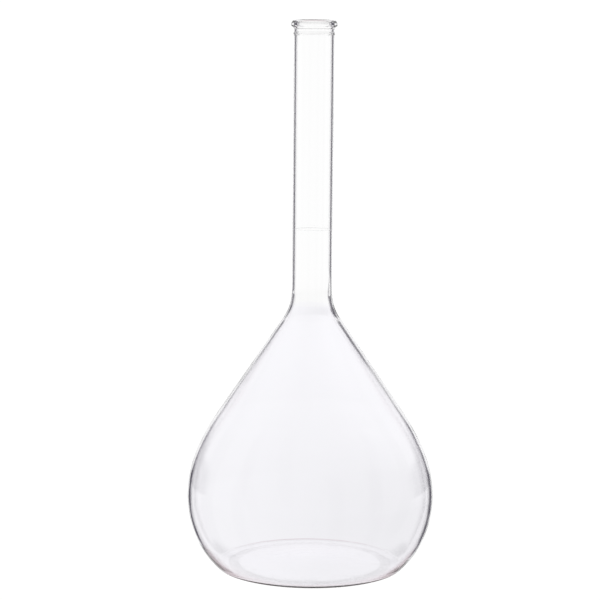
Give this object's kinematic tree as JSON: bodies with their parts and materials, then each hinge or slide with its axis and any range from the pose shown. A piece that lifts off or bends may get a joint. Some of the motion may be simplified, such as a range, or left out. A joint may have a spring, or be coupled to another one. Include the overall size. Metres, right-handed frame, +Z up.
{
  "type": "volumetric flask",
  "caption": "Clear glass volumetric flask with a pear-shaped bulb, a long narrow neck, a fine graduation ring and an open beaded mouth.",
  "frame": {"origin": "centre of the foot ring, on the surface the flask stands on", "axes": "+Z up along the axis of the bulb and neck; +X and +Y are any two directions at right angles, because the flask is turned about Z"},
  "size_m": [0.1288, 0.1288, 0.2853],
  "materials": {
    "clear_glass": "clear, fire-polished, very faintly lilac where it is thick",
    "ring_enamel": "thin fired-on enamel line, pale grey, satin"
  },
  "bodies": {
    "root": {"bulb": "clear_glass", "neck_tube": "clear_glass", "mouth_rim": "clear_glass", "graduation_ring": "ring_enamel"}
  },
  "joints": []
}
